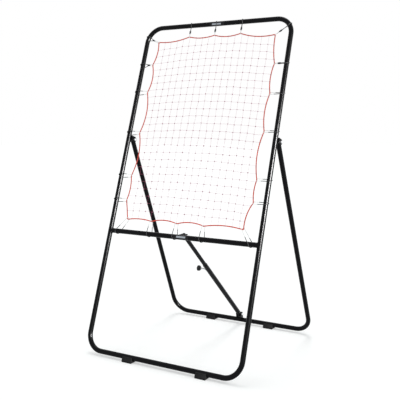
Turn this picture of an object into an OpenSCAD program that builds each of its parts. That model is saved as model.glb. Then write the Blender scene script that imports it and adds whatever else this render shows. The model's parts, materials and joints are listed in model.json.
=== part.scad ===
// Free-standing pitching target: a leaning net frame with a folding rear leg
// and a telescopic brace. X runs across the net, +Y towards the rear leg and
// +Z up; the origin is on the floor, midway between the two bottom bars.

/* [Front frame] */
// Overall width of the front frame, across its tubes
frame_w = 914; // [800:1:1000]
// Overall length of the front frame, along its lean
frame_h = 1829; // [1650:1:2000]
// Backward lean of the front frame from upright, in degrees
lean = 18.9; // [16:0.1:21]
// Outer diameter of the frame tube
tube_d = 25.4; // [24:0.1:28]
// Wall of the frame tube
tube_wall = 1.2; // [1:0.1:2]
// Radius of the frame's bends, to the tube's centre line
bend_r = 88; // [70:1:110]
// Height of the crossbar above the bottom bar, along the frame
crossbar_h = 624; // [540:1:700]

/* [Rear leg] */
// Distance on the floor from the front bottom bar to the rear bottom bar
base_depth = 864; // [800:1:920]
// Height of the fold hinge above the bottom bar, along the frame
hinge_h = 1148; // [1080:1:1200]
// Air between the front leg and the rear leg at the fold hinge
hinge_gap = 10.6; // [10:0.1:16]
// Length of the rear leg's tube above the hinge bolt
leg_tail = 11; // [10:0.5:12]

/* [Brackets] */
// Thickness of the bracket plate
plate = 2.5; // [2:0.1:3]
// Side play between a bracket's ears and the tube between them
ear_play = 0.8; // [0.5:0.1:1.2]
// Half the height of a fold hinge bracket
hinge_half = 15; // [13:0.5:17]
// Half the height of the brace's upper bracket
head_half = 12; // [11:0.5:14]
// Distance of the brace's upper pivot from the crossbar tube
head_reach = 28.3; // [26:0.1:32]
// Upward tilt of the brace's upper bracket from square to the frame, in degrees
head_tilt = 20; // [0:1:25]
// Half the depth of the brace's lower bracket
shoe_half = 14; // [12:0.5:16]
// Distance of the brace's lower pivot above the rear bar's tube
shoe_reach = 23.3; // [22:0.1:28]
// Forward tilt of the brace's lower bracket from upright, in degrees
shoe_tilt = 10; // [5:0.5:15]

/* [Brace] */
// Outer diameter of the brace's lower tube
lower_d = 25.4; // [25:0.1:28]
// Length of the lower tube from its pivot to its mouth
lower_len = 550; // [520:1:580]
// Length of the lower tube past its pivot
lower_tail = 13; // [12:0.5:14]
// Outer diameter of the brace's upper tube
upper_d = 21; // [19:0.1:21.4]
// Wall of the upper tube
upper_wall = 1.2; // [1:0.1:2]
// Length of the upper tube below its pivot
upper_len = 395; // [360:1:430]
// Length of the upper tube past its pivot
upper_tail = 12; // [11:0.5:14]
// Radial play between the upper tube and the lower tube's bore
slide_play = 0.3; // [0.2:0.05:0.4]

/* [Lock] */
// Distance of the lock screw below the lower tube's mouth
lock_drop = 46; // [30:1:80]
// Diameter of the lock knob
knob_d = 31; // [26:0.5:36]
// Thickness of the knob's fluted head
knob_t = 12.5; // [10:0.5:20]
// Length of the knob's tapered hub
hub_t = 8; // [6:0.5:16]
// Diameter of the hub where the stud enters it
hub_d = 12; // [11:0.5:14]
// Number of flutes round the knob
flutes = 6; // [5:1:9]
// Radius of a flute
flute_r = 4.5; // [2:0.1:5]
// Diameter of the lock stud
stud_d = 8; // [6:0.5:9]
// Length of bright stud between the weld nut and the hub
stud_bare = 25; // [15:0.5:35]
// Outer diameter of the weld nut on the lower tube
weld_d = 15; // [13:0.5:18]
// Height of the weld nut above the lower tube
weld_h = 6; // [4:0.5:10]

/* [Fasteners] */
// Diameter of the pivot bolts
bolt_d = 8; // [6:0.5:9]
// Radial running clearance round a pivot bolt or the lock stud
pin_play = 0.1; // [0.05:0.01:0.1]
// Distance across the flats of the bolt heads and nuts
hex_af = 13; // [12:0.5:15]
// Height of a bolt head
head_t = 5.3; // [4:0.1:7]
// Height of a lock nut
nut_t = 8; // [6:0.5:10]
// Length of bolt that shows past its nut
bolt_past = 2; // [1:0.5:4]

/* [Feet and plugs] */
// Thickness of a foot below the tube
foot_drop = 9.3; // [6:0.1:14]
// Width of a foot along its bar
foot_w = 58; // [40:1:80]
// Depth of a foot across its bar
foot_l = 46; // [40:1:60]
// Thickness of a foot's arms round the tube
foot_arm = 3.8; // [3:0.1:5]
// Height of the arms' lips above the tube's centre
foot_lip = 5; // [3:0.5:8]
// Number of grooves in a foot's tread
grooves = 4; // [2:1:6]
// Distance of the left front foot from the middle
front_left_x = 178; // [120:1:300]
// Distance of the right front foot from the middle
front_right_x = 246; // [120:1:300]
// Distance of each rear foot from the middle
rear_x = 190; // [120:1:300]
// Thickness of a tube plug's flange
plug_t = 1.5; // [1:0.1:2]
// Length of a plug's spigot inside its tube
spigot = 5; // [3:0.5:5.5]

/* [Net] */
// Thickness of the net's twine
twine = 2; // [1.5:0.1:3]
// Upright strands in the net
net_cols = 12; // [8:1:14]
// Level strands in the net
net_rows = 18; // [10:1:18]
// Diameter of the border rope
rope_d = 5.8; // [4:0.1:7]
// Distance from a tube's centre line to the rope where a tie pulls it
tie_reach = 67; // [62:1:80]
// Inward set of the net's top left corner from the tied edge
corner_left = 12; // [5:1:25]
// Inward set of the net's top right corner from the tied edge
corner_right = 19; // [5:1:25]
// Drop of the net's top corners below the tied edge
corner_drop = 20; // [8:1:30]
// Inward set of the net's bottom corners from the tied edge
corner_bottom = 30; // [10:1:40]
// Inward bow of the rope in each span along the top, as a share of the span
top_bow = [0.06, 0.07, 0.08, 0.07];
// Inward bow of the rope in each span down the right side
right_bow = [0.04, 0.065, 0.07, 0.076, 0.06, 0.085];
// Inward bow of the rope in each span along the bottom, from the right
bottom_bow = [0.05, 0.075, 0.075, 0.05];
// Inward bow of the rope in each span up the left side
left_bow = [0.01, 0.07, 0.088, 0.088, 0.1, 0.085];

/* [Ties] */
// Diameter of a tie's elastic cord
tie_d = 3.4; // [2.5:0.1:4.5]
// Distance between the two strands of a tie
tie_gap = 16; // [12:0.5:20]
// Length of a tie's black sleeve beyond its tube
sleeve_len = 28; // [20:0.5:34]
// Length by which the top right corner's sleeve is longer
corner_sleeve = 14; // [0:1:20]
// Places of the top ties, from the middle
top_ties = [-165, -6, 153];
// Places of the bottom ties, from the middle
bottom_ties = [-193, -36, 123];
// Places of the lower left ties, as shares of the window's height
left_low = [0.144, 0.26];
// Places of the upper left ties, as shares of the window's height
left_high = [0.668, 0.809];
// Places of the lower right ties, as shares of the window's height
right_low = [0.172, 0.27];
// Places of the upper right ties, as shares of the window's height
right_high = [0.651, 0.789];
// Height of the middle left tie above the fold hinge
left_mid = 27; // [26:1:60]
// Height of the middle right tie above the fold hinge
right_mid = 43; // [26:1:80]
// Place of the top left corner tie round the bend, in degrees
bend_left = 20; // [10:1:45]
// Place of the top right corner tie round the bend, in degrees
bend_right = 35; // [10:1:45]
// Distance of the bottom corner ties from the leg's centre line
corner_tie = 48; // [40:1:70]

/* [Hidden] */
$fn = 48;
CORD_SIDES = 6;
cord_gap = 0.2;
tube_r = tube_d / 2;
bolt_r = bolt_d / 2;
bar_z = tube_r + foot_drop;
leg_x = frame_w / 2 - tube_r;
top_u = frame_h - tube_d;
hinge_back = tube_d + hinge_gap;
head_back = tube_r + head_reach;
shoe_up = tube_r + shoe_reach;
lower_bore = upper_d / 2 + slide_play;
hinge_ear = tube_r + ear_play;
head_ear = upper_d / 2 + ear_play;
shoe_ear = lower_d / 2 + ear_play;

// A point of the frame's own plane, v behind and u along it, in the world
function framed(v, u) = [
    0,
    -base_depth / 2 + u * sin(lean) + v * cos(lean),
    bar_z + u * cos(lean) - v * sin(lean)
];

hinge_at = framed(hinge_back, hinge_h);
rear_at = [0, base_depth / 2, bar_z];
leg_len = norm(hinge_at - rear_at);
leg_tilt = atan2(rear_at.y - hinge_at.y, hinge_at.z - rear_at.z);
brace_top = framed(head_back * cos(head_tilt), crossbar_h + head_back * sin(head_tilt));
brace_foot = rear_at + shoe_up * [0, -sin(shoe_tilt), cos(shoe_tilt)];
brace_len = norm(brace_top - brace_foot);
brace_tilt = atan2(brace_foot.y - brace_top.y, brace_top.z - brace_foot.z);
lock_z = lower_len - lock_drop;

FRAME = ["frame_upper", "frame_lower", "crossbar", "net", "net_rope"];
SIDES = ["left", "right"];
EDGES = ["top", "right", "bottom", "left"];
TIED = [["top", 3], ["right", 5], ["bottom", 3], ["left", 5], ["corner", 4]];

// ---- Places ----

module in_frame(u = 0) {
    translate(framed(0, u)) rotate([-lean, 0, 0]) children();
}

module in_head() {
    in_frame(crossbar_h) rotate([head_tilt, 0, 0]) children();
}

module in_leg() {
    translate(hinge_at) rotate([leg_tilt, 0, 0]) children();
}

module in_shoe() {
    translate(rear_at) rotate([shoe_tilt, 0, 0]) children();
}

module in_brace(z = 0) {
    translate(brace_foot) rotate([brace_tilt, 0, 0]) translate([0, 0, z]) children();
}

// ---- Tubes ----

// Cylinder centred on the origin with its axis along X
module cross_rod(r, length) {
    rotate([0, 90, 0]) cylinder(r = r, h = length, center = true);
}

// Solid U in the XZ plane: a level bar on Z = 0, bent up into two legs that
// end at the height h
module u_rod(r, h) {
    run = leg_x - bend_r;
    cross_rod(r, 2 * run);
    for (side = [-1, 1]) {
        translate([side * run, 0, bend_r])
            rotate([90, 0, 0])
                rotate([0, 0, side > 0 ? -90 : 180])
                    rotate_extrude(angle = 90)
                        translate([bend_r, 0]) circle(r = r);
        translate([side * leg_x, 0, bend_r]) cylinder(r = r, h = h - bend_r);
    }
}

// Hollow U tube, open at the ends of its legs
module u_tube(h) {
    difference() {
        u_rod(tube_r, h);
        u_rod(tube_r - tube_wall, h + 1);
    }
}

module frame_lower() {
    color("#15161a") in_frame() u_tube(crossbar_h);
}

module frame_upper() {
    color("#15161a") in_frame(top_u) mirror([0, 0, 1]) u_tube(top_u - crossbar_h);
}

// Cut to a saddle where it meets each leg
module crossbar() {
    color("#15161a") in_frame(crossbar_h) difference() {
        cross_rod(tube_r, 2 * leg_x);
        cross_rod(tube_r - tube_wall, 2 * leg_x + 1);
        for (side = [-1, 1])
            translate([side * leg_x, 0, 0])
                cylinder(r = tube_r, h = 2 * tube_d, center = true);
    }
}

module rear_leg() {
    color("#15161a") in_leg() difference() {
        translate([0, 0, -leg_len]) u_tube(leg_len + leg_tail);
        cross_rod(bolt_r + pin_play, frame_w + 1);
    }
}

// Plug for an open tube end, its flange upwards from Z = 0
module plug(r, bore) {
    edge = plug_t / 2;
    color("#1b1b1d") rotate_extrude()
        polygon([
            [0, -spigot], [bore - 1, -spigot], [bore, 1 - spigot], [bore, 0],
            [r, 0], [r, edge], [r - edge, plug_t], [0, plug_t]
        ]);
}

module rear_plug(side) {
    in_leg() translate([side * leg_x, 0, leg_tail]) plug(tube_r, tube_r - tube_wall);
}

// ---- Brackets and fasteners ----

// Channel that stands on a tube through the origin and carries a pivot along
// X at Y = reach. half is half its height, and ear half the way between ears
module channel(half, reach, ear) {
    seat = tube_r * 0.7;
    difference() {
        union() {
            translate([-ear - plate, seat, -half])
                cube([2 * (ear + plate), tube_r + plate - seat, 2 * half]);
            for (side = [-1, 1])
                translate([side * (ear + plate / 2), 0, 0]) rotate([0, 90, 0])
                    linear_extrude(plate, center = true) {
                        translate([-half, seat]) square([2 * half, reach - seat]);
                        translate([0, reach]) circle(r = half);
                    }
        }
        translate([0, reach, 0]) cross_rod(bolt_r + pin_play, 4 * (ear + plate));
    }
}

module hinge_bracket(side) {
    color("#15161a") in_frame(hinge_h) translate([side * leg_x, 0, 0]) difference() {
        channel(hinge_half, hinge_back, hinge_ear);
        cylinder(r = tube_r, h = 4 * hinge_half, center = true);
    }
}

module brace_head_bracket() {
    color("#15161a") in_head() difference() {
        channel(head_half, head_back, head_ear);
        cross_rod(tube_r, 4 * tube_d);
    }
}

module brace_shoe_bracket() {
    color("#15161a") in_shoe() rotate([90, 0, 0]) difference() {
        channel(shoe_half, shoe_up, shoe_ear);
        cross_rod(tube_r, 4 * tube_d);
    }
}

// Hexagon across flats hex_af, its axis along X, from X = 0 to X = t
module hex(t) {
    rotate([0, 90, 0]) cylinder(d = hex_af / cos(30), h = t, $fn = 6);
}

// Bolt along X through a channel, with its head on the -X side
module bolt(ear) {
    side = ear + plate;
    color("#c9cbcd") {
        translate([-side - head_t, 0, 0]) hex(head_t);
        translate([-side - 0.5, 0, 0]) rotate([0, 90, 0])
            cylinder(r = bolt_r, h = 2 * side + nut_t + bolt_past + 0.5);
    }
}

// Lock nut on the +X side, with its round collar outwards
module nut(ear, bore = bolt_r) {
    collar = nut_t / 4;
    color("#c9cbcd") translate([ear + plate, 0, 0]) difference() {
        union() {
            hex(nut_t - collar);
            rotate([0, 90, 0]) cylinder(d = hex_af - 1, h = nut_t);
        }
        cross_rod(bore, 3 * nut_t);
    }
}

module at_hinge(side) {
    in_frame(hinge_h) translate([side * leg_x, hinge_back, 0]) mirror([side < 0 ? 1 : 0, 0, 0])
        children();
}

// The brace's upper pivot is open: each of its two screws ends at the inner
// face of its ear, and the tube swings between them
module brace_head_bolt() {
    in_head() translate([0, head_back, 0]) color("#c9cbcd") {
        translate([-head_ear - plate - head_t, 0, 0]) hex(head_t);
        translate([-head_ear - plate - 0.5, 0, 0]) rotate([0, 90, 0])
            cylinder(r = bolt_r, h = plate + 0.5);
    }
}

module brace_head_nut() {
    in_head() translate([0, head_back, 0]) {
        nut(head_ear);
        color("#c9cbcd") translate([head_ear, 0, 0]) rotate([0, 90, 0])
            cylinder(r = bolt_r, h = plate + nut_t + bolt_past);
    }
}

// ---- Brace ----

module brace_lower_tube() {
    color("#1d1e22") in_brace() difference() {
        translate([0, 0, -lower_tail]) cylinder(r = lower_d / 2, h = lower_len + lower_tail);
        translate([0, 0, -lower_tail - 1]) cylinder(r = lower_bore, h = lower_len + lower_tail + 2);
        cross_rod(bolt_r + pin_play, 2 * lower_d);
        translate([-lower_d / 2, 0, lock_z]) cross_rod(stud_d / 2 + pin_play, lower_d);
    }
}

module brace_lower_plug() {
    in_brace(-lower_tail) mirror([0, 0, 1]) plug(lower_d / 2, lower_bore);
}

module brace_upper_tube() {
    low = brace_len - upper_len;
    color("#1d1e22") in_brace() difference() {
        translate([0, 0, low]) cylinder(r = upper_d / 2, h = upper_len + upper_tail);
        translate([0, 0, low - 1])
            cylinder(r = upper_d / 2 - upper_wall, h = upper_len + upper_tail + 2);
        translate([0, 0, brace_len]) cross_rod(bolt_r + pin_play, 2 * upper_d);
    }
}

module brace_upper_plug() {
    in_brace(brace_len + upper_tail) plug(upper_d / 2, upper_d / 2 - upper_wall);
}

// ---- Lock ----

module in_lock() {
    in_brace(lock_z) rotate([0, -90, 0]) children();
}

weld_top = lower_d / 2 + weld_h;
hub_at = weld_top + stud_bare;

module weld_nut() {
    color("#c9cbcd") in_lock() difference() {
        cylinder(d = weld_d, h = weld_top);
        cylinder(r = stud_d / 2 + pin_play, h = weld_top + 1);
        rotate([0, 90, 0]) cylinder(r = lower_d / 2, h = 2 * weld_d, center = true);
    }
}

module lock_stud() {
    tip = upper_d / 2 + slide_play;
    color("#c9cbcd") in_lock() translate([0, 0, tip])
        cylinder(r = stud_d / 2, h = hub_at + hub_t - tip);
}

// Tapered hub with a blind hole for the stud, and a fluted head with a crown
module lock_knob() {
    rim = knob_d / 2;
    crown = knob_t / 6;
    color("#18181a") in_lock() translate([0, 0, hub_at]) difference() {
        rotate_extrude() polygon([
            [0, 0], [hub_d / 2, 0], [rim - crown, hub_t], [rim, hub_t + crown],
            [rim, hub_t + knob_t - crown], [rim - crown, hub_t + knob_t], [0, hub_t + knob_t]
        ]);
        cylinder(r = stud_d / 2, h = 2 * hub_t, center = true);
        for (i = [0:flutes - 1])
            rotate([0, 0, i * 360 / flutes]) translate([rim + flute_r / 3, 0, hub_t])
                cylinder(r = flute_r, h = 3 * knob_t, center = true);
    }
}

// ---- Feet ----

// Snap-on saddle under a level tube along X, flat and grooved underneath
module foot() {
    arm_r = tube_r + foot_arm;
    half = foot_l / 2;
    groove = foot_l / (2 * grooves + 1);
    color("#1b1b1d") rotate([90, 0, 90]) linear_extrude(foot_w, center = true)
        difference() {
            union() {
                circle(r = arm_r);
                polygon([
                    [-half, -bar_z], [half, -bar_z], [half, -bar_z + foot_drop],
                    [arm_r, 0], [-arm_r, 0], [-half, -bar_z + foot_drop]
                ]);
            }
            circle(r = tube_r);
            translate([-arm_r - 1, foot_lip]) square([2 * arm_r + 2, arm_r]);
            for (i = [1:grooves])
                translate([-half + (2 * i - 1) * groove, -bar_z - 1]) square([groove, 2.5]);
        }
}

module front_foot(side) {
    x = side < 0 ? -front_left_x : front_right_x;
    translate([x, -base_depth / 2, bar_z]) foot();
}

module rear_foot(side) {
    translate([side * rear_x, 0, 0]) translate(rear_at) foot();
}

// ---- Net, rope and ties ----
// Places here are [x, u]: across the frame, and along it from the bottom bar.

window = top_u - crossbar_h;
function side_ties(low, high, mid) = concat(
    [for (share = low) crossbar_h + share * window],
    [hinge_h + mid],
    [for (share = high) crossbar_h + share * window]
);
left_u = side_ties(left_low, left_high, left_mid);
right_u = side_ties(right_low, right_high, right_mid);
function reversed(list) = [for (i = [len(list) - 1:-1:0]) list[i]];

net_x = leg_x - tie_reach;
net_top = top_u - tie_reach;
net_bottom = crossbar_h + tie_reach;

// A tie is [place of its tube's centre, direction into the window in degrees
// from straight up, place where it pulls the rope, direction of its hook, length
// of its sleeve, whether its two strands are drawn together where the sleeve ends]
bend_x = leg_x - bend_r;
bend_u = top_u - bend_r;
function bend_tie(side, turn) = [
    [side * (bend_x + bend_r * cos(turn)), bend_u + bend_r * sin(turn)],
    -side * (90 + turn),
    [side * (net_x - (side < 0 ? corner_left : corner_right)), net_top - corner_drop],
    -side * 135, sleeve_len + (side < 0 ? 0 : corner_sleeve), true
];
function low_tie(side) = [
    [side * (leg_x - corner_tie), crossbar_h], 0,
    [side * (net_x - corner_bottom), net_bottom],
    -side * 45, sleeve_len, false
];
top_row = [for (x = top_ties) [[x, top_u], 180, [x, net_top], 180, sleeve_len, true]];
right_row = [for (u = reversed(right_u))
    [[leg_x, u], -90, [net_x, u], -90, sleeve_len, u == right_u[4]]];
bottom_row = [for (x = reversed(bottom_ties))
    [[x, crossbar_h], 0, [x, net_bottom], 0, sleeve_len, false]];
left_row = [for (u = left_u) [[-leg_x, u], 90, [-net_x, u], 90, sleeve_len, u == left_u[4]]];
corners = [bend_tie(-1, bend_left), bend_tie(1, bend_right), low_tie(1), low_tie(-1)];

// Ties clockwise round the net from its top left corner
anchors = [for (tie = concat(
    [corners[0]], top_row, [corners[1]], right_row,
    [corners[2]], bottom_row, [corners[3]], left_row
)) tie[2]];

// The rope's line, clockwise from the top left corner: it bows inwards between
// ties and has a corner at each
BOW_STEPS = 3;
bows = concat(top_bow, right_bow, bottom_bow, left_bow);
function inward(a, b) = [(b - a).y, -(b - a).x] / norm(b - a);
rope_line = [
    for (i = [0:len(anchors) - 1])
        let (a = anchors[i], b = anchors[(i + 1) % len(anchors)])
            for (k = [0:BOW_STEPS - 1])
                let (t = k / BOW_STEPS)
                    a + (b - a) * t + inward(a, b) * bows[i] * norm(b - a) * 4 * t * (1 - t)
];

// The same line moved inwards by set
function inset(line, set) = [
    for (i = [0:len(line) - 1])
        let (
            before = inward(line[(i + len(line) - 1) % len(line)], line[i]),
            after = inward(line[i], line[(i + 1) % len(line)])
        )
            line[i] + set * (before + after) / (1 + before * after)
];

// Cord swept along points, closed on itself or with flat ends, with its seam
// turned away from centre
module cord(points, centre, r, closed) {
    count = len(points);
    last = count - 1;
    rings = [
        for (i = [0:last])
            let (
                p = points[i],
                next = points[closed ? (i + 1) % count : min(i + 1, last)],
                before = points[closed ? (i + last) % count : max(i - 1, 0)],
                t = (next - before) / norm(next - before),
                out = (p - centre) - ((p - centre) * t) * t,
                n = out / norm(out),
                b = cross(t, n)
            )
                for (k = [0:CORD_SIDES - 1])
                    let (a = (k + 0.5) * 360 / CORD_SIDES) p + r * (n * cos(a) + b * sin(a))
    ];
    skin = [
        for (i = [0:closed ? last : last - 1])
            for (k = [0:CORD_SIDES - 1])
                let (
                    next = (i + 1) % count,
                    turn = (k + 1) % CORD_SIDES,
                    a = i * CORD_SIDES + k,
                    b = i * CORD_SIDES + turn,
                    c = next * CORD_SIDES + turn,
                    d = next * CORD_SIDES + k
                )
                    each [[a, c, b], [a, d, c]]
    ];
    ends = closed ? [] : [
        [for (k = [0:CORD_SIDES - 1]) k],
        [for (k = [CORD_SIDES - 1:-1:0]) last * CORD_SIDES + k]
    ];
    polyhedron(rings, concat(skin, ends));
}

module net_rope() {
    middle = [0, 0, (net_top + net_bottom) / 2];
    color("#d8453c") in_frame()
        cord([for (p = rope_line) [p.x, 0, p.y]], middle, rope_d / 2, true);
}

// Square mesh of flat strands that end on the rope
module net() {
    pitch_x = 2 * net_x / (net_cols + 1);
    pitch_u = (net_top - net_bottom) / (net_rows + 1);
    color("#ac3f5a") in_frame() rotate([90, 0, 0])
        linear_extrude(twine, center = true) intersection() {
            polygon(inset(rope_line, rope_d / 2 * cos(180 / CORD_SIDES) + cord_gap));
            union() {
                for (i = [1:net_cols])
                    translate([-net_x + i * pitch_x - twine / 2, net_bottom])
                        square([twine, net_top - net_bottom]);
                for (i = [1:net_rows])
                    translate([-net_x, net_bottom + i * pitch_u - twine / 2])
                        square([2 * net_x, twine]);
            }
        }
}

// Places children at a tie: local +Z points into the window
module at_tie(tie) {
    in_frame() translate([tie[0].x, 0, tie[0].y]) rotate([0, tie[1], 0]) children();
}

// A tie is one elastic loop with a black sleeve round its tube. It goes over the
// front of the tube, round the outside and back behind it; its other end hooks
// the rope in the same way, and the strands run straight between the two.
// Points are [along the tube, behind it, into the window].
WRAP_STEPS = 5;
HOOK_STEPS = 4;
tie_r = tie_d / 2;
hook_r = (rope_d / 2 + tie_r) / cos(90 / HOOK_STEPS) + 5 * cord_gap;

// Turn past straight with which a tie's strands leave their tube
function tuck(tie) = tie[5] ? 12 : 0;

// Point of the hook after the turn a, which is 0 in front and 180 behind. At a
// corner of the rope the hook reaches deeper, round both of its arms
function hook(tie, a) =
    let (
        d = tie[2] - tie[0],
        t = tie[1],
        h = tie[3] - tie[1],
        along = (a / 90 - 1) * (tie[5] ? 0.2 : 0.4) * tie_gap,
        deep = hook_r * sin(a) + (tie[3] % 90 == 0 ? 0 : rope_d)
    ) [
        d.x * cos(t) - d.y * sin(t) + along * cos(h) + deep * sin(h),
        -hook_r * cos(a),
        d.x * sin(t) + d.y * cos(t) - along * sin(h) + deep * cos(h)
    ];

// Point of the wrap at a share of its way round the tube
function wrap(tie, share) =
    let (
        turn = 180 + 2 * tuck(tie),
        a = share * turn - tuck(tie),
        r = (tube_r + tie_r) / cos(turn / 2 / WRAP_STEPS) + cord_gap
    )
        [(share - 0.5) * tie_gap, -r * cos(a), -r * sin(a)];

// The end of the sleeve on the strand that leaves the tube after the turn a:
// on the straight way to its hook, or beside the other strand
function sleeve_end(tie, a) =
    let (
        start = wrap(tie, a / 180),
        way = hook(tie, a) - start,
        share = (tube_r + tie[4]) / norm(way),
        middle = (hook(tie, 0) + hook(tie, 180)) / 2 * share,
        beside = (a / 90 - 1) * (tie_r + cord_gap)
    )
        tie[5] ? middle + [beside, 0, 0] : start + way * share;

// The start of the bare strand: where its sleeve ends, or just past that end
// where the strand turns there
function bare_end(tie, a) =
    let (from = sleeve_end(tie, a), way = hook(tie, a) - from)
        tie[5] ? from + way / norm(way) * tie_r * 0.75 : from;

module tie_sleeve(tie) {
    color("#1a1a1c") at_tie(tie) cord(
        concat(
            [sleeve_end(tie, 0)],
            [for (i = [0:WRAP_STEPS]) wrap(tie, i / WRAP_STEPS)],
            [sleeve_end(tie, 180)]
        ),
        [0, 0, tube_r], tie_r, false
    );
}

module tie_end(tie) {
    color("#ececec") at_tie(tie) cord(
        concat(
            [bare_end(tie, 0)],
            [for (i = [0:HOOK_STEPS]) hook(tie, i * 180 / HOOK_STEPS)],
            [bare_end(tie, 180)]
        ),
        (sleeve_end(tie, 0) + sleeve_end(tie, 180)) / 2, tie_r, false
    );
}

module tie_ends(row) {
    for (tie = row) tie_end(tie);
}

// ---- Nodes ----

frame_upper();
frame_lower();
crossbar();
net();
net_rope();
tie_ends(concat(top_row, [corners[0], corners[1]]));  // tie_ends_top
tie_ends(right_row);  // tie_ends_right
tie_ends(concat(bottom_row, [corners[2], corners[3]]));  // tie_ends_bottom
tie_ends(left_row);  // tie_ends_left

rows = [top_row, right_row, bottom_row, left_row, corners];
for (g = [0:len(rows) - 1])
    for (i = [0:len(rows[g]) - 1])
        tie_sleeve(rows[g][i]);

for (i = [0, 1]) {
    side = 2 * i - 1;
    name = SIDES[i];
    hinge_bracket(side);
    at_hinge(side) bolt(hinge_ear);
    at_hinge(side) nut(hinge_ear);
    front_foot(side);
    rear_plug(side);
    rear_foot(side);
}

brace_head_bracket();
brace_head_bolt();
brace_head_nut();
rear_leg();
brace_shoe_bracket();
in_shoe() translate([0, 0, shoe_up]) bolt(shoe_ear);  // brace_shoe_bolt
in_shoe() translate([0, 0, shoe_up]) nut(shoe_ear);  // brace_shoe_nut
brace_lower_tube();
brace_lower_plug();
weld_nut();
brace_upper_tube();
brace_upper_plug();
lock_stud();
lock_knob();
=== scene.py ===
"""Builds the net, rope, ties, hardware and finishes of a pitching target."""

import json
import math
import random
from collections import namedtuple

import bmesh
import bpy
from mathutils import Matrix, Vector


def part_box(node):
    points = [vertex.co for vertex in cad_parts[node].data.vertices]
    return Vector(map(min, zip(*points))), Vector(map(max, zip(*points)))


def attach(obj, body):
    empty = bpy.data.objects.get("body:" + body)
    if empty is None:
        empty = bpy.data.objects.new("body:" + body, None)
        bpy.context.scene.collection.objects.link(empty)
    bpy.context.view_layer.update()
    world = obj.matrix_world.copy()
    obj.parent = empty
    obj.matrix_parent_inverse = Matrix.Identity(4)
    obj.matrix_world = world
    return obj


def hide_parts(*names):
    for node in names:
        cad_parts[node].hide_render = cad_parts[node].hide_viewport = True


bl_info = {
    "name": "Pitching Target",
    "version": (1, 0, 0),
    "blender": (4, 5, 0),
    "location": "View3D > Sidebar > Target",
    "description": "Dresses a leaning net frame that stands on a folding rear leg",
    "category": "Add Mesh",
}

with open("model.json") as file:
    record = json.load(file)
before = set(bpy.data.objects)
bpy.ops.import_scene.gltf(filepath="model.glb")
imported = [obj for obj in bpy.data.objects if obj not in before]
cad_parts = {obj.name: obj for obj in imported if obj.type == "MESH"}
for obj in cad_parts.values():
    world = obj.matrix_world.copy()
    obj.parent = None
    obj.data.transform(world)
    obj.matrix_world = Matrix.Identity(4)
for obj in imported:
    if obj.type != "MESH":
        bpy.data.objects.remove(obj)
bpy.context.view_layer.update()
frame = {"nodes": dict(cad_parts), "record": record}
NODES = frame["nodes"]
MM = 0.001
WHITE = (1.0, 1.0, 1.0, 1.0)


# ---- Sizes and colours a user would change ----


def number(name, default, description, **kind):
    """A number property, or a row of them where the default is a row."""
    make = bpy.props.FloatProperty
    if isinstance(default, tuple):
        make, kind["size"] = bpy.props.FloatVectorProperty, len(default)
    return make(name=name, description=description, default=default, **kind)


def length(name, default_mm, description, high_mm=3000.0):
    """A length property whose default is given in millimetres."""
    kind = {"subtype": "DISTANCE", "unit": "LENGTH", "precision": 4}
    return number(name, default_mm * MM, description, min=0.0, max=high_mm * MM, **kind)


def angle(name, default_deg, description):
    """An angle property whose default is given in degrees."""
    default = math.radians(default_deg)
    return number(name, default, description, subtype="ANGLE", unit="ROTATION")


def colour(name, rgb, description):
    """A linear colour property."""
    return number(name, rgb, description, min=0.0, max=1.0, subtype="COLOR")


def place(name, default, description):
    """A point, or a width and a height, in metres."""
    return number(name, default, description, subtype="TRANSLATION", unit="LENGTH")


def shares(name, default, description):
    """A row of shares, one for each stretch of rope."""
    return number(name, default, description, min=0.0, max=0.2)


def count(name, default, description):
    """A whole number property."""
    return bpy.props.IntProperty(name=name, description=description, default=default, min=1)


class StandSizes(bpy.types.PropertyGroup):
    """Where the frame's tubes lie."""

    lean: angle("Lean", 18.9, "Backward lean of the front frame from upright")
    base_depth: length("Base Depth", 864, "Distance between the two bottom bars")
    bar_z: length("Bar Height", 22, "Height of a bottom bar's centre line")
    tube_d: length("Tube", 25.4, "Outer diameter of the frame tube")
    leg_x: length("Leg Offset", 444.3, "Distance of a leg's centre line from the middle")
    top_u: length("Top Bar", 1803.6, "Top bar's place along the frame")
    crossbar_u: length("Crossbar", 624, "Crossbar's place along the frame")
    bend_r: length("Bend Radius", 88, "Radius of the frame's bends")
    hinge_u: length("Hinge", 1148, "Place of the leg's two hinges along the frame")
    head_tilt: angle("Head Tilt", 20, "Tilt of the brace's upper bracket")
    shoe_tilt: angle("Shoe Tilt", 100, "Turn of the brace's lower bracket")
    stud_d: length("Stud", 8, "Diameter of the lock screw")


class NetSizes(bpy.types.PropertyGroup):
    """The knotted net and its border rope."""

    columns: count("Columns", 17, "Upright strands between the side ropes")
    rows: count("Rows", 24, "Level strands between the end ropes")
    cell: place("Cell", (0.0402, 0.0408), "Width and height of one mesh")
    middle: place("Middle", (0.0016, 1.2141), "Middle of the mesh in the frame's plane")
    droop: length("Droop", 16.2, "How far a row's ends hang below its middle")
    slope: length("Slope", 9.2, "How far a row falls from left to right")
    twine_d: length("Twine", 0.75, "Diameter of the net's twine")
    knot_d: length("Knot", 5.1, "Width of a knot")
    belly: length("Belly", 4, "How far the net's middle hangs behind its plane")
    rope_d: length("Rope", 5.8, "Diameter of the border rope")
    lay: length("Lay", 18, "Length of one full turn of the rope's strands")
    top_bow: shares("Top Bow", (0.06, 0.07, 0.08, 0.07), "Inward bow of the rope along the top")
    right_bow: shares(
        "Right Bow", (0.04, 0.065, 0.07, 0.076, 0.06, 0.085), "Its bow down the right side"
    )
    bottom_bow: shares(
        "Bottom Bow", (0.05, 0.075, 0.075, 0.05), "Its bow along the bottom, from the right"
    )
    left_bow: shares(
        "Left Bow", (0.01, 0.07, 0.088, 0.088, 0.1, 0.085), "Its bow up the left side"
    )
    reach: length("Reach", 67, "Distance of the tied rope from a tube's centre line")


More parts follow.
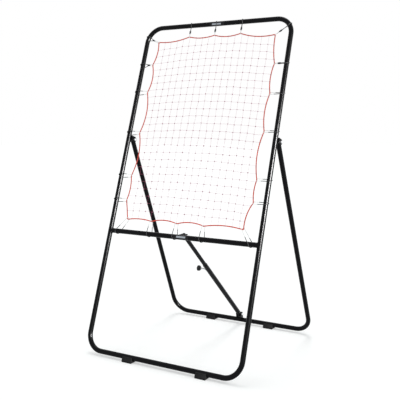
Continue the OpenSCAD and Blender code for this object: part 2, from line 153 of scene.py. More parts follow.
class TieSizes(bpy.types.PropertyGroup):
    """The elastic loops that hang the net."""

    sleeve_d: length("Sleeve", 3.4, "Diameter of a tie's black sleeve")
    elastic_d: length("Elastic", 2.6, "Diameter of the elastic cord in the sleeve")
    gap: length("Strand Gap", 16, "Distance between the two strands of a tie")
    sleeve_len: length("Sleeve Length", 28, "Length of a sleeve beyond its tube")
    corner_len: length("Corner Sleeve", 42, "Length of the top right corner's sleeve")
    bead_d: length("Bead", 9.5, "Width of the bead that draws a tie's strands together")
    bead_len: length("Bead Length", 17, "Length of that bead")


class Colours(bpy.types.PropertyGroup):
    """Linear colours of the finishes."""

    paint: colour("Paint", (0.0042, 0.0042, 0.0056), "Powder coat of the frame")
    brace: colour("Brace Paint", (0.008, 0.008, 0.0105), "Paint of the brace tubes")
    rubber: colour("Rubber", (0.008, 0.008, 0.009), "Feet")
    plastic: colour("Plastic", (0.011, 0.011, 0.012), "Plugs and knob")
    zinc: colour("Zinc", (0.66, 0.67, 0.68), "Plated bolts, nuts and stud")
    rope: colour("Rope", (0.88, 0.06, 0.02), "Border rope")
    twine: colour("Twine", (0.62, 0.12, 0.24), "Net")
    # Painted shade: the knots are tied from the same twine but get this duller, greyer red, which
    # stands in for the shade in their folds.
    knot: colour("Knots", (0.52, 0.20, 0.29), "Knots of the net")
    sleeve: colour("Sleeve", (0.010, 0.011, 0.013), "Sleeves of the ties")
    elastic: colour("Elastic", (0.96, 0.96, 0.95), "Bare elastic of the ties")
    film: colour("Label Film", (0.010, 0.010, 0.012), "Bare label bands on the bars")
    stripe: colour("Label Stripe", (0.56, 0.60, 0.66), "Plain stripe on a label band")


class StageLook(bpy.types.PropertyGroup):
    """Camera and light."""

    eye: place("Camera", (1.831, -3.134, 1.207), "The camera's place")
    yaw: angle("Yaw", 30.57, "Turn of the camera to the left of the Y axis")
    pitch: angle("Pitch", 3.54, "Downward tilt of the camera")
    lens: number("Lens", 61.5, "Focal length on a 36 mm sensor", unit="CAMERA")
    shift: number("Shift", -0.095, "Vertical shift of the lens")
    ambient: number("Ambient", 0.75, "Light from all round", min=0.0)
    ambient_tint: colour("Ambient Tint", (0.96, 1.0, 1.0), "Colour of the light from all round")
    floor_r: length("Floor", 30000, "Radius of the floor", high_mm=90000)
    floor_white: number("Floor White", 0.66, "Share of light that the floor returns")
    floor_glow: number("Floor Glow", 0.41, "Brightness the floor gains for the camera")
    sun: number("Sun", 0.8, "Strength of the soft main light", min=0.0)
    sun_width: angle("Sun Width", 16, "Angle that the main light fills, for soft shadows")
    sun_tint: colour("Sun Tint", (1.0, 0.985, 0.97), "Colour of the main light")
    sun_place: place("Sun Place", (-0.7, 1.2, 4.6), "Where the main light shines from")
    softbox: number("Softbox", 1200.0, "Power of the softbox", min=0.0, unit="POWER")
    softbox_size: place("Softbox Size", (1.7, 0.75), "Width and height of the softbox")
    softbox_place: place("Softbox Place", (3.3, -1.0, 1.87), "Where the softbox hangs")
    softbox_aim: place("Softbox Aim", (0.0, -0.1, 1.3), "Where the softbox looks")


GROUPS = {
    "stand": StandSizes,
    "net": NetSizes,
    "ties": TieSizes,
    "colours": Colours,
    "stage": StageLook,
}


def settings(group):
    """The scene's property group of that name."""
    return getattr(bpy.context.scene, "target_" + group)


# ---- Finishes ----


class Value:
    """A shader socket on which arithmetic adds Math nodes."""

    def __init__(self, finish, socket):
        self.finish, self.socket = finish, socket

    def math(self, operation, *numbers):
        sockets = dict(enumerate(numbers))
        return self.finish.node("ShaderNodeMath", {"operation": operation}, sockets)

    def __add__(self, other):
        return self.math("ADD", self, other)

    def __sub__(self, other):
        return self.math("SUBTRACT", self, other)

    def __mul__(self, other):
        return self.math("MULTIPLY", self, other)

    def __lt__(self, other):
        return self.math("LESS_THAN", self, other)

    __radd__ = __add__

    def ramp(self, low, high):
        """0 below low and 1 above high, smooth between."""
        return self.finish.node(
            "ShaderNodeMapRange",
            {"interpolation_type": "SMOOTHSTEP"},
            {"Value": self, "From Min": low, "From Max": high},
        )

    def sine(self):
        return self.math("SINE", self)

    def absolute(self):
        return self.math("ABSOLUTE", self)


class Finish:
    """A material on a Principled shader."""

    def __init__(self, name, colour, roughness, **constants):
        self.material = bpy.data.materials.new(name)
        self.material.use_nodes = True
        self.tree = self.material.node_tree
        self.nodes = self.tree.nodes
        self.shader = self.nodes["Principled BSDF"]
        self.material.diffuse_color = (*colour, 1.0)
        self.feed(
            {"Base Color": (*colour, 1.0), "Roughness": roughness}
            | {key.replace("_", " "): value for key, value in constants.items()}
        )

    @classmethod
    def on_tree(cls, tree):
        """The same helpers on another tree, such as a world's."""
        helper = cls.__new__(cls)
        helper.tree, helper.nodes = tree, tree.nodes
        return helper

    def seen(self):
        """1 for rays that show the background: direct, mirrored or let through."""
        kinds = ("Is Camera Ray", "Is Glossy Ray", "Is Transmission Ray")
        camera, glossy, through = [self.node("ShaderNodeLightPath", output=k) for k in kinds]
        return self.node("ShaderNodeClamp", {}, {"Value": camera + glossy + through})

    def connect(self, node, sockets):
        for key, value in sockets.items():
            socket = node.inputs[key]
            if isinstance(value, Value):
                self.tree.links.new(value.socket, socket)
            else:
                socket.default_value = value

    def node(self, kind, options=None, sockets=None, output=0):
        """A node of that kind: its options first, then its sockets."""
        node = self.nodes.new(kind)
        for key, value in (options or {}).items():
            setattr(node, key, value)
        self.connect(node, sockets or {})
        return Value(self, node.outputs[output])

    def feed(self, sockets):
        """Sets or links sockets of the Principled shader."""
        self.connect(self.shader, sockets)

    def done(self, colour, height, depth, strength, roughness=None):
        """The material, once its colour, its bumps and its roughness are linked."""
        self.feed({"Base Color": colour, "Normal": self.bump(height, depth, strength)})
        if roughness is not None:
            self.feed({"Roughness": roughness})
        return self.material

    def place(self):
        """Object coordinates, in metres."""
        return self.node("ShaderNodeTexCoord", output="Object")

    def along(self):
        """The cord's own coordinates, along it and round it, each 0 to 1."""
        return self.split(self.node("ShaderNodeTexCoord", output="UV"))[:2]

    def split(self, vector):
        """The three components of a vector."""
        node = self.nodes.new("ShaderNodeSeparateXYZ")
        self.connect(node, {0: vector})
        return [Value(self, socket) for socket in node.outputs]

    def noise(self, scale, detail):
        """Noise from 0 to 1; scale is per metre."""
        sockets = {"Vector": self.place(), "Scale": scale, "Detail": detail}
        return self.node("ShaderNodeTexNoise", {}, sockets)

    def mix(self, factor, first, second):
        """Colours blended by factor."""
        sockets = {0: factor, 6: first, 7: second}
        return self.node("ShaderNodeMix", {"data_type": "RGBA"}, sockets, output=2)

    def bump(self, height, distance, strength):
        """A normal from a height of that many metres."""
        sockets = {"Strength": strength, "Distance": distance, "Height": height}
        return self.node("ShaderNodeBump", {}, sockets)


def shade(rgb, factor):
    """A lighter or darker colour, with alpha."""
    return (*(min(1.0, c * factor) for c in rgb), 1.0)


def painted(name, rgb, roughness):
    """Powder coat: orange peel, a slow change of gloss and faint dust."""
    finish = Finish(name, rgb, roughness, Specular_IOR_Level=0.08)
    peel = finish.noise(650.0, 2.0)
    slow = finish.noise(9.0, 2.0)
    dust = finish.noise(60.0, 5.0).ramp(0.56, 0.8) * 0.3
    colour = finish.mix(dust, shade(rgb, 0.95), shade(rgb, 2.0))
    gloss = slow * 0.1 + peel * 0.04 + (roughness - 0.07)
    return finish.done(colour, peel, 0.00002, 0.4, gloss)


def moulded(name, rgb, roughness, grain=1400.0, depth=0.00003, gloss=0.2):
    """Moulded rubber or plastic with a fine grain."""
    finish = Finish(name, rgb, roughness, Specular_IOR_Level=gloss)
    fine = finish.noise(grain, 2.0)
    patch = finish.noise(70.0, 4.0)
    colour = finish.mix(patch.ramp(0.45, 0.75), shade(rgb, 0.9), shade(rgb, 1.7))
    return finish.done(colour, fine, depth, 0.6, patch * 0.16 + (roughness - 0.08))


def plated(name, rgb, roughness):
    """Zinc plate: bright, with faint spangle and dull patches."""
    finish = Finish(name, rgb, roughness, Metallic=1.0)
    spangle = finish.noise(700.0, 3.0)
    dull = finish.noise(160.0, 4.0).ramp(0.45, 0.7)
    colour = finish.mix(dull, shade(rgb, 1.05), shade(rgb, 0.72))
    gloss = dull * 0.2 + spangle * 0.08 + (roughness - 0.05)
    return finish.done(colour, spangle, 0.00002, 0.4, gloss)


def braided(name, rgb, picks, groove_shade=0.55):
    """Braided cord with that many crossings along its length. The grooves between its plaits get
    painted shade: the colour there is scaled down.
    """
    plaits = 6.0
    finish = Finish(name, rgb, 0.75, Specular_IOR_Level=0.25)
    along, around = finish.along()
    turn = around * (plaits * math.tau)
    run = along * (picks * math.tau)
    weave = ((run + turn).sine() + (run - turn).sine()) * 0.25 + 0.5
    fuzz = finish.noise(2600.0, 2.0)
    # Painted shade: the colour is scaled down where the weave is low, in the grooves between
    # plaits.
    colour = finish.mix(weave.ramp(0.1, 0.7), shade(rgb, groove_shade), shade(rgb, 1.1))
    return finish.done(colour, weave + fuzz * 0.3, 0.00018, 0.8)


def twisted(name, rgb, turns, yarns, groove_shade):
    """Twisted yarn: turns along its length and yarns side by side. The grooves between its yarns
    get painted shade: the colour there is scaled down.
    """
    finish = Finish(name, rgb, 0.8, Specular_IOR_Level=0.2)
    along, around = finish.along()
    ply = (along * (turns * math.tau) + around * (yarns * math.tau)).sine() * 0.5 + 0.5
    fuzz = finish.noise(2200.0, 3.0)
    tone = finish.noise(35.0, 2.0)
    worn = finish.mix(tone, shade(rgb, 0.9), shade(rgb, 1.12))
    # Painted shade: the colour is scaled down where the ply is low, in the grooves between yarns.
    colour = finish.mix(ply.ramp(0.0, 0.5), shade(rgb, groove_shade), worn)
    return finish.done(colour, ply + fuzz * 0.5, 0.00015, 0.8)


def fuzzy(name, rgb):
    """Worn yarn whose twist can't be seen."""
    finish = Finish(name, rgb, 0.85, Specular_IOR_Level=0.2)
    fuzz = finish.noise(1500.0, 3.0)
    colour = finish.mix(fuzz.ramp(0.3, 0.7), shade(rgb, 0.75), shade(rgb, 1.1))
    return finish.done(colour, fuzz, 0.0003, 0.8)


# ---- Shared modelling ----


def frame_plane():
    """Matrix from the frame's own [across, behind, up along] to the row frame."""
    stand = settings("stand")
    foot = Matrix.Translation((0.0, -stand.base_depth / 2, stand.bar_z))
    return foot @ Matrix.Rotation(-stand.lean, 4, "X")


def new_object(name, data):
    """An object with that data, linked to the scene."""
    item = bpy.data.objects.new(name, data)
    bpy.context.scene.collection.objects.link(item)
    return item


def keep(name, mesh, material, body, replaced=()):
    """Links a finished mesh as a piece that rides on a body."""
    piece = new_object(name, mesh)
    mesh.materials.clear()
    mesh.materials.append(material)
    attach(piece, body)
    if replaced:
        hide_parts(*replaced)


def body_of(node):
    """The body that a CAD node rides on."""
    bodies = frame["record"]["behaviour"]["bodies"]
    return next(body for body, nodes in bodies.items() if node in nodes)


def middle_of(node):
    """The middle of a CAD node's box."""
    low, high = (Vector(corner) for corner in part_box(node))
    return (low + high) / 2


def round_edges(bm, sharp, width, segments, clamp=False):
    """Bevels each edge at which the faces turn by more than sharp, in radians."""
    bmesh.ops.bevel(
        bm,
        geom=[edge for edge in bm.edges if edge.calc_face_angle(0.0) > sharp],
        offset=width,
        segments=segments,
        profile=0.5,
        affect="EDGES",
        clamp_overlap=clamp,
        material=-1,
    )


def tiny_ring(bm, sides, radius, reach, steps):
    """Adds a closed ring round Z, of a thin round section, and gives its points."""
    before = set(bm.verts)
    section = bmesh.ops.create_circle(bm, segments=sides, radius=radius)["verts"]
    upright = Matrix.Rotation(math.pi / 2, 3, "X")
    bmesh.ops.rotate(bm, verts=section, matrix=upright)
    bmesh.ops.translate(bm, verts=section, vec=(reach, 0, 0))
    bmesh.ops.spin(
        bm,
        geom=section + list({edge for vert in section for edge in vert.link_edges}),
        axis=(0, 0, 1),
        angle=math.tau,
        steps=steps,
        use_merge=True,
    )
    return [vert for vert in bm.verts if vert not in before]


def softened(node, width):
    """A CAD node's shape with its sharp edges rounded."""
    bm = bmesh.new()
    bm.from_mesh(NODES[node].data)
    bmesh.ops.remove_doubles(bm, verts=bm.verts, dist=0.01 * MM)
    bmesh.ops.recalc_face_normals(bm, faces=bm.faces)
    flat = math.radians(0.5)
    bmesh.ops.dissolve_limit(bm, angle_limit=flat, verts=bm.verts, edges=bm.edges)
    round_edges(bm, math.radians(25), width, 2, True)
    return bm


def to_mesh(bm, name, smooth_angle=40.0):
    """A mesh from a bmesh, smooth except at edges sharper than the angle."""
    bmesh.ops.recalc_face_normals(bm, faces=bm.faces)
    limit = math.radians(smooth_angle)
    for edge in bm.edges:
        edge.smooth = len(edge.link_faces) == 2 and edge.calc_face_angle(0.0) < limit
    for face in bm.faces:
        face.smooth = True
    mesh = bpy.data.meshes.new(name)
    bm.to_mesh(mesh)
    bm.free()
    return mesh


def circle(radius, sides, lobe=lambda turn: 1.0):
    """Points round a circle, whose radius a lobe can change."""
    turns = [k * math.tau / sides for k in range(sides)]
    return [(radius * lobe(a) * math.cos(a), radius * lobe(a) * math.sin(a)) for a in turns]


def swept(name, paths, section, closed=False, tilts=None, widths=None):
    """A mesh along each path of points. tilts turn the section at each point, and
    widths scales it by the share of the path that lies behind."""
    curve = bpy.data.curves.new(name, "CURVE")
    curve.dimensions = "3D"
    curve.twist_mode = "MINIMUM"
    curve.use_fill_caps = not closed
    for path in paths:
        spline = curve.splines.new("POLY")
        spline.points.add(len(path) - 1)
        for index, (point, place) in enumerate(zip(spline.points, path)):
            point.co = (*place, 1.0)
            if tilts:
                point.tilt = tilts[index]
            if widths:
                point.radius = widths(index / (len(path) - 1))
        spline.use_cyclic_u = closed
    ring = bpy.data.curves.new(name + "_section", "CURVE")
    ring.dimensions = "2D"
    outline = ring.splines.new("POLY")
    outline.points.add(len(section) - 1)
    for point, place in zip(outline.points, section):
        point.co = (*place, 0.0, 1.0)
    outline.use_cyclic_u = True
    shape, holder = new_object(ring.name, ring), new_object(name, curve)
    curve.bevel_mode = "OBJECT"
    curve.bevel_object = shape
    bpy.context.view_layer.update()
    graph = bpy.context.evaluated_depsgraph_get()
    mesh = bpy.data.meshes.new_from_object(holder.evaluated_get(graph), depsgraph=graph)
    for item, data in ((holder, curve), (shape, ring)):
        bpy.data.objects.remove(item)
        bpy.data.curves.remove(data)
    mesh.shade_smooth()
    mesh.name = name
    return mesh


# ---- Rope line and ties, in the frame's plane ----


# An elastic loop: its tube's place, the way into the window, the place and way
# of its hook on the rope, its sleeve's length and whether a bead draws it in.
# Places are (across, up along) and ways are angles from straight up.
Tie = namedtuple("Tie", "name place way cusp hook_way sleeve drawn")


def tie_list():
    """The ties clockwise round the net from its top left corner."""
    stand, net, sizes = settings("stand"), settings("net"), settings("ties")
    window = stand.top_u - stand.crossbar_u
    leg, top, bar = stand.leg_x, stand.top_u, stand.crossbar_u
    side, high, low = leg - net.reach, top - net.reach, bar + net.reach

    def places(below, past_hinge, above):
        """Places up a leg: shares of the window below and above the hinge."""
        low_ones, high_ones = ([bar + s * window for s in row] for row in (below, above))
        return low_ones + [stand.hinge_u + past_hinge * MM] + high_ones

    left = places((0.144, 0.26), 27, (0.668, 0.809))
    right = places((0.172, 0.27), 43, (0.651, 0.789))
    ties = []

    def add(name, place, way, cusp, hook_way=None, drawn=False, sleeve=sizes.sleeve_len):
        hook_way = way if hook_way is None else hook_way
        ties.append(Tie(name, Vector(place), way, Vector(cusp), hook_way, sleeve, drawn))

    def corner_top(name, sign, turn, inset, sleeve):
        bend = Vector((math.cos(math.radians(turn)) * sign, math.sin(math.radians(turn))))
        centre = Vector((sign * (leg - stand.bend_r), top - stand.bend_r))
        cusp = (sign * (side - inset), high - 20 * MM)
        place = centre + bend * stand.bend_r
        add(name, place, -sign * (90 + turn), cusp, -sign * 135, True, sleeve)

    def corner_low(name, sign):
        cusp = (sign * (side - 30 * MM), low)
        add(name, (sign * (leg - 48 * MM), bar), 0, cusp, -sign * 45)

    corner_top("tie_corner_1", -1, 20, 12 * MM, sizes.sleeve_len)
    for i, x in enumerate((-165, -6, 153)):
        add(f"tie_top_{i + 1}", (x * MM, top), 180, (x * MM, high), drawn=True)
    corner_top("tie_corner_2", 1, 35, 19 * MM, sizes.corner_len)
    for i, u in enumerate(reversed(right)):
        add(f"tie_right_{i + 1}", (leg, u), -90, (side, u), drawn=i == 0)
    corner_low("tie_corner_3", 1)
    for i, x in enumerate((123, -36, -193)):
        add(f"tie_bottom_{i + 1}", (x * MM, bar), 0, (x * MM, low))
    corner_low("tie_corner_4", -1)
    for i, u in enumerate(left):
        add(f"tie_left_{i + 1}", (-leg, u), 90, (-side, u), drawn=i == 4)
    return ties


def rope_spans(ties, step):
    """The rope's line between each pair of ties, as lists of points."""
    net = settings("net")
    bows = (*net.top_bow, *net.right_bow, *net.bottom_bow, *net.left_bow)
    spans = []
    for index, (tie, bow) in enumerate(zip(ties, bows)):
        start, end = tie.cusp, ties[(index + 1) % len(ties)].cusp
        way = end - start
        inward = Vector((way.y, -way.x)).normalized()
        steps = max(4, round(way.length / step))
        spans.append([])
        for k in range(steps):
            t = k / steps
            dip = bow * way.length * 4 * t * (1 - t)
            spans[-1].append(start + way * t + inward * dip)
    return spans


def relax(points, rounds):
    """Rounds the corners of a closed line of points."""
    for _ in range(rounds):
        before, after = points[-1:] + points[:-1], points[1:] + points[:1]
        points = [(a + p * 2 + b) / 4 for a, p, b in zip(before, points, after)]
    return points


def resample(points, spacing):
    """Even steps along a closed line."""
    loop = points + points[:1]
    marks = [0.0]
    for a, b in zip(loop, loop[1:]):
        marks.append(marks[-1] + (b - a).length)
    total = round(marks[-1] / spacing)
    out, seg = [], 0
    for k in range(total):
        at = marks[-1] * k / total
        while marks[seg + 1] < at:
            seg += 1
        t = (at - marks[seg]) / (marks[seg + 1] - marks[seg])
        out.append(loop[seg].lerp(loop[seg + 1], t))
    return out, marks[-1]


# ---- Operators ----


class TARGET_OT_tubes(bpy.types.Operator):
    """Coats the frame and the brace, and rounds their brackets"""

    bl_idname = "target.tubes"
    bl_label = "Coat Tubes"

    def execute(self, context):
        colours = settings("colours")
        coat = painted("powder_coat", colours.paint, 0.25)
        brace = painted("brace_paint", colours.brace, 0.34)
        looks = dict.fromkeys(("frame_upper", "frame_lower", "crossbar", "rear_leg"), coat)
        looks |= dict.fromkeys(("brace_lower_tube", "brace_upper_tube"), brace)
        for name, node in NODES.items():
            if name in looks:
                node.data.materials.clear()
                node.data.materials.append(looks[name])
            elif "bracket" in name:
                mesh = to_mesh(softened(name, 0.6 * MM), "plate_" + name)
                keep(mesh.name, mesh, coat, body_of(name), [name])
        self.welds(coat, brace)
        return {"FINISHED"}

    def welds(self, coat, brace):
        """Painted-over beads where plates, bars and the nut are welded on."""
        stand = settings("stand")
        r, proud = stand.tube_d / 2, 0.4 * MM
        front = frame_plane()
        rear = Matrix.Translation((0.0, stand.base_depth / 2, stand.bar_z))
        lock = self.lock_place()

        def bar_end(sign):
            """Round an end of the crossbar, where it is cut to fit a leg."""
            rim = circle(r, 160)
            return [
                front
                @ Vector((sign * (stand.leg_x - abs(up) - proud), back, stand.crossbar_u + up))
                for back, up in rim + rim[:1]
            ]

        def hinge_seat(sign, side):
            """Along an end of a hinge bracket, round a quarter of the leg."""
            u = stand.hinge_u + side * 15.4 * MM
            reach = r + proud
            turns = [math.radians(45 + 2.25 * k) for k in range(41)]
            return [
                front @ Vector((sign * stand.leg_x + reach * math.cos(a), reach * math.sin(a), u))
                for a in turns
            ]

        def bar_seat(bar, tilt, half, side):
            """Along a side of a brace bracket, on the bar that carries it."""
            seat, reach = math.radians(51), r + 0.6 * MM
            at = reach * math.cos(seat), side * reach * math.sin(seat)
            fit = bar @ Matrix.Rotation(tilt, 4, "X")
            return [fit @ Vector((half * (k / 20 - 1), *at)) for k in range(41)]

        def nut_seat():
            """Round the lock's nut, on the brace's lower tube."""
            rim = circle(7.6 * MM, 60)
            return [
                lock @ Vector((-math.sqrt(r**2 - side**2), side, along))
                for along, side in rim + rim[:1]
            ]

        def ripple(pitch, saddle=False):
            """Width of a bead with that pitch, thinner at a saddle's two tips."""

            def width(t):
                bead = 0.86 + 0.14 * math.sin(math.tau * t / pitch)
                return bead * (0.25 + 0.75 * abs(math.sin(math.tau * t)) if saddle else 1.0)

            return width

        crossbar = front @ Matrix.Translation((0.0, 0.0, stand.crossbar_u))
        ends = [bar_end(sign) for sign in (-1, 1)]
        seats = [hinge_seat(sign, side) for sign in (-1, 1) for side in (-1, 1)]
        seats += [bar_seat(crossbar, stand.head_tilt, 13.8 * MM, side) for side in (-1, 1)]
        shoe = [bar_seat(rear, stand.shoe_tilt, 16 * MM, side) for side in (-1, 1)]
        paint = "black_paint"
        for name, paths, radius, width, look, body, slot in (
            ("bar_ends", ends, 1.9, ripple(0.02, True), coat, "frame", paint),
            ("brackets", seats, 1.4, ripple(0.06), coat, "frame", paint),
            ("rear", shoe, 1.4, ripple(0.06), coat, "rear", paint),
            ("lock", [nut_seat()], 1.1, ripple(0.04), brace, "brace_lower", "brace_paint"),
        ):
            mesh = swept("weld_" + name, paths, circle(radius * MM, 8), widths=width)
            keep(mesh.name, mesh, look, body)

    def lock_place(self):
        """Matrix of the lock: X points from the knob into the brace."""
        foot, top, nut = (middle_of(n) for n in ("brace_shoe_bolt", "brace_head_bolt", "weld_nut"))
        foot.x = top.x = 0.0
        way = (top - foot).normalized()
        place = Matrix.Translation(foot + way * (nut - foot).dot(way))
        return place @ Matrix.Rotation(math.atan2(-way.y, way.z), 4, "X")


class TARGET_OT_hardware(bpy.types.Operator):
    """Finishes the bolts, nuts, plugs, feet, stud and knob"""

    bl_idname = "target.hardware"
    bl_label = "Finish Hardware"

    def stud(self, look):
        """The lock screw: a thread round a core, from the brace to the knob."""
        stand = settings("stand")
        low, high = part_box("lock_stud")
        r, pitch = stand.stud_d / 2, 1.25 * MM
        root = r - 0.6 * pitch
        core, span = root * 1.02, high[0] - low[0]
        bm = bmesh.new()
        bmesh.ops.create_cone(
            bm, cap_ends=True, segments=24, radius1=core, radius2=core, depth=span
        )
        round_edges(bm, 1.0, 0.5 * MM, 2)
        start = -span / 2 + 0.4 * MM
        corners = ((root, 0, start), (r, 0, start + pitch / 2), (root, 0, start + pitch))
        ridge = [bm.verts.new(corner) for corner in corners]
        sides = [bm.edges.new((ridge[k], ridge[(k + 1) % 3])) for k in range(3)]
        turns = int((span - 0.8 * MM) / pitch) - 1
        bmesh.ops.spin(
            bm,
            geom=ridge + sides,
            axis=(0, 0, 1),
            dvec=(0, 0, pitch / 16),
            angle=turns * math.tau,
            steps=turns * 16,
        )
        bmesh.ops.holes_fill(bm, edges=[e for e in bm.edges if e.is_boundary], sides=3)
        bmesh.ops.rotate(bm, verts=bm.verts, matrix=Matrix.Rotation(math.pi / 2, 3, "Y"))
        bmesh.ops.translate(bm, verts=bm.verts, vec=middle_of("lock_stud"))
        mesh = to_mesh(bm, "lock_thread", 30.0)
        keep(mesh.name, mesh, look, "knob", ["lock_stud"])

    def execute(self, context):
        colours = settings("colours")
        zinc = plated("zinc_plate", colours.zinc, 0.3)
        plastic = moulded("black_plastic", colours.plastic, 0.45)
        rubber = moulded("black_rubber", colours.rubber, 0.7, 900.0, 0.00006, 0.12)
        kinds = (
            ("foot", rubber, "black_rubber", 1.0),
            ("plug", plastic, "black_plastic", 0.5),
            ("lock_knob", plastic, "black_plastic", 1.1),
            ("bolt", zinc, "zinc_steel", 0.45),
            ("_nut", zinc, "zinc_steel", 0.45),
        )
        for name in NODES:
            for key, look, slot, width in kinds:
                if key in name:
                    mesh = to_mesh(softened(name, width * MM), "fine_" + name)
                    keep(mesh.name, mesh, look, body_of(name), [name])
                    break
        self.stud(zinc)
        return {"FINISHED"}


class TARGET_OT_rope(bpy.types.Operator):
    """Lays the border rope through the ties"""

    bl_idname = "target.rope"
    bl_label = "Lay Border Rope"

    def execute(self, context):
        net = settings("net")
        spans = rope_spans(tie_list(), 2.0 * MM)
        line = relax([point for span in spans for point in span], 5)
        line, total = resample(line, net.lay / 12)
        turns = round(total / net.lay)
        tilts = [math.tau * turns * k / len(line) for k in range(len(line))]
        section = circle(net.rope_d / 2, 12, lambda a: 0.74 + 0.26 * abs(math.cos(1.5 * a)))
        path = [(p.x, p.y, 0.0) for p in line]
        mesh = swept("border_rope", [path], section, True, tilts)
        mesh.transform(frame_plane() @ Matrix.Rotation(math.pi / 2, 4, "X"))
        look = twisted("red_rope", settings("colours").rope, total / 0.004, 9.0, 0.7)
        keep("border_rope", mesh, look, "frame", ["net_rope"])
        return {"FINISHED"}


class TARGET_OT_net(bpy.types.Operator):
    """Knots the square-mesh net inside the rope"""

    bl_idname = "target.net"
    bl_label = "Knot Net"

    def lattice(self):
        """Places of the knots, with the outer ones on the rope. The inner ones keep
        clear of it and stray a little from an even mesh."""
        net = settings("net")
        ties = tie_list()
        spans = rope_spans(ties, 4.0 * MM)
        names = [tie.name for tie in ties]
        marks = [names.index(f"tie_corner_{k}") for k in (1, 2, 3, 4)] + [len(ties)]
        edges = []
        for first, last in zip(marks, marks[1:]):
            edge = [p for span in spans[first:last] for p in span]
            edges.append(edge + [ties[last % len(ties)].cusp])
        top, right, bottom, left = edges
        across, up = net.columns + 1, net.rows + 1
        clear = 9 * MM
        stray = (2.2 * MM, 1.6 * MM, 0.8 * MM)

        def at(edge, axis, value):
            """Where a side of the rope crosses a line across or up."""
            for a, b in zip(edge, edge[1:]):
                low, high = sorted((a[axis], b[axis]))
                if low <= value <= high and high > low:
                    return a.lerp(b, (value - a[axis]) / (b[axis] - a[axis]))
            return min(edge, key=lambda p: abs(p[axis] - value))

        bm = bmesh.new()
        bmesh.ops.create_grid(bm, x_segments=across, y_segments=up, size=0.5)
        inner, cell = [], {}
        for vert in bm.verts:
            i = round((vert.co.x + 0.5) * across)
            j = round((vert.co.y + 0.5) * up)
            side, rise = i / across - 0.5, j / up - 0.5
            droop = net.droop * 4 * side * side * (1 + 0.8 * rise) + net.slope * side
            x = net.middle[0] + net.cell[0] * across * side
            z = net.middle[1] + net.cell[1] * up * rise - droop
            high, low = at(top, 0, x), at(bottom, 0, x)
            if j in (0, up):
                place = high if j else low
            elif i in (0, across):
                place = at(right if i else left, 1, z)
            else:
                place = Vector((x, min(max(z, low.y + clear), high.y - clear)))
                inner.append(vert)
            vert.co = (place.x, place.y, 0.0)
            cell[vert] = (i, j)
        for _ in range(2):
            bmesh.ops.smooth_vert(
                bm, verts=inner, factor=0.5, use_axis_x=True, use_axis_y=True, use_axis_z=True
            )
        chance = random.Random(7)
        for vert in inner:
            i, j = cell[vert]
            sag = math.sin(math.pi * i / across) * math.sin(math.pi * j / up)
            vert.co.z = -net.belly * sag
            vert.co += Vector([chance.uniform(-most, most) for most in stray])
        places = {cell[vert]: vert.co.copy() for vert in bm.verts}
        bm.free()
        return places, across, up

    def knot_pattern(self, width):
        """One knot: a body with two turns of twine round it."""
        knot = bmesh.new()
        bmesh.ops.create_icosphere(knot, subdivisions=1, radius=width * 0.45)
        bmesh.ops.scale(knot, vec=(1.15, 0.85, 0.75), verts=knot.verts)
        for tilt in (0.6, -0.9):
            ring = tiny_ring(knot, 4, width * 0.16, width * 0.4, 9)
            turn = Matrix.Rotation(tilt, 3, "X") @ Matrix.Rotation(tilt * 0.7, 3, "Y")
            bmesh.ops.rotate(knot, verts=ring, matrix=turn)
        return to_mesh(knot, "knot_pattern", 80.0)

    def knots(self, places, across, up):
        """A knot at each crossing, each turned and sized a little differently."""
        pattern = self.knot_pattern(settings("net").knot_d)
        chance = random.Random(11)
        bm = bmesh.new()
        for (i, j), place in sorted(places.items()):
            if not (0 < i < across and 0 < j < up):
                continue
            start = len(bm.verts)
            bm.from_mesh(pattern)
            bm.verts.ensure_lookup_table()
            turn = Matrix.Rotation(math.radians(45 + chance.uniform(-18, 18)), 4, "Z")
            if (i + j) % 2:
                turn = Matrix.Rotation(math.pi / 2, 4, "Z") @ turn
            size = Matrix.Scale(chance.uniform(0.9, 1.12), 4)
            move = Matrix.Translation(place) @ turn @ size
            bmesh.ops.transform(bm, matrix=move, verts=bm.verts[start:])
        bpy.data.meshes.remove(pattern)
        return bm

    def hitches(self, places, across, up):
        """Twine wound round the rope where each strand meets it."""
        net = settings("net")
        bm = bmesh.new()
        for (i, j), place in sorted(places.items()):
            inside = 0 < i < across, 0 < j < up
            if sum(inside) != 1:
                continue
            step = (1, 0) if inside[0] else (0, 1)
            a, b = places[i - step[0], j - step[1]], places[i + step[0], j + step[1]]
            way = (b - a).normalized()
            face = way.to_track_quat("Z", "Y").to_matrix()
            for offset in (-0.55, 0.55):
                ring = tiny_ring(bm, 5, net.twine_d / 2, net.rope_d / 2 + 0.1 * MM, 12)
                bmesh.ops.rotate(bm, verts=ring, matrix=face)
                shift = place + way * offset * net.twine_d
                bmesh.ops.translate(bm, verts=ring, vec=shift)
        return bm

    def execute(self, context):
        net, colours = settings("net"), settings("colours")
        places, across, up = self.lattice()
        paths = [[places[i, j] for j in range(up + 1)] for i in range(1, across)]
        paths += [[places[i, j] for i in range(across + 1)] for j in range(1, up)]
        twine = swept("net_twine", paths, circle(net.twine_d / 2, 6))
        knots = to_mesh(self.knots(places, across, up), "net_knots", 80.0)
        hitches = to_mesh(self.hitches(places, across, up), "net_hitches", 80.0)
        yarn = twisted("red_twine", colours.twine, 330.0, 2.0, 0.72)
        # Knots and hitches take the knot colour, which is painted shade in their folds, not a
        # different twine.
        knotted = fuzzy("knotted_twine", colours.knot)
        fit = frame_plane() @ Matrix.Rotation(math.pi / 2, 4, "X")
        pieces = (twine, yarn, ["net"]), (knots, knotted, ()), (hitches, knotted, ())
        for mesh, look, replaced in pieces:
            mesh.transform(fit)
            keep(mesh.name, mesh, look, "frame", replaced)
        return {"FINISHED"}


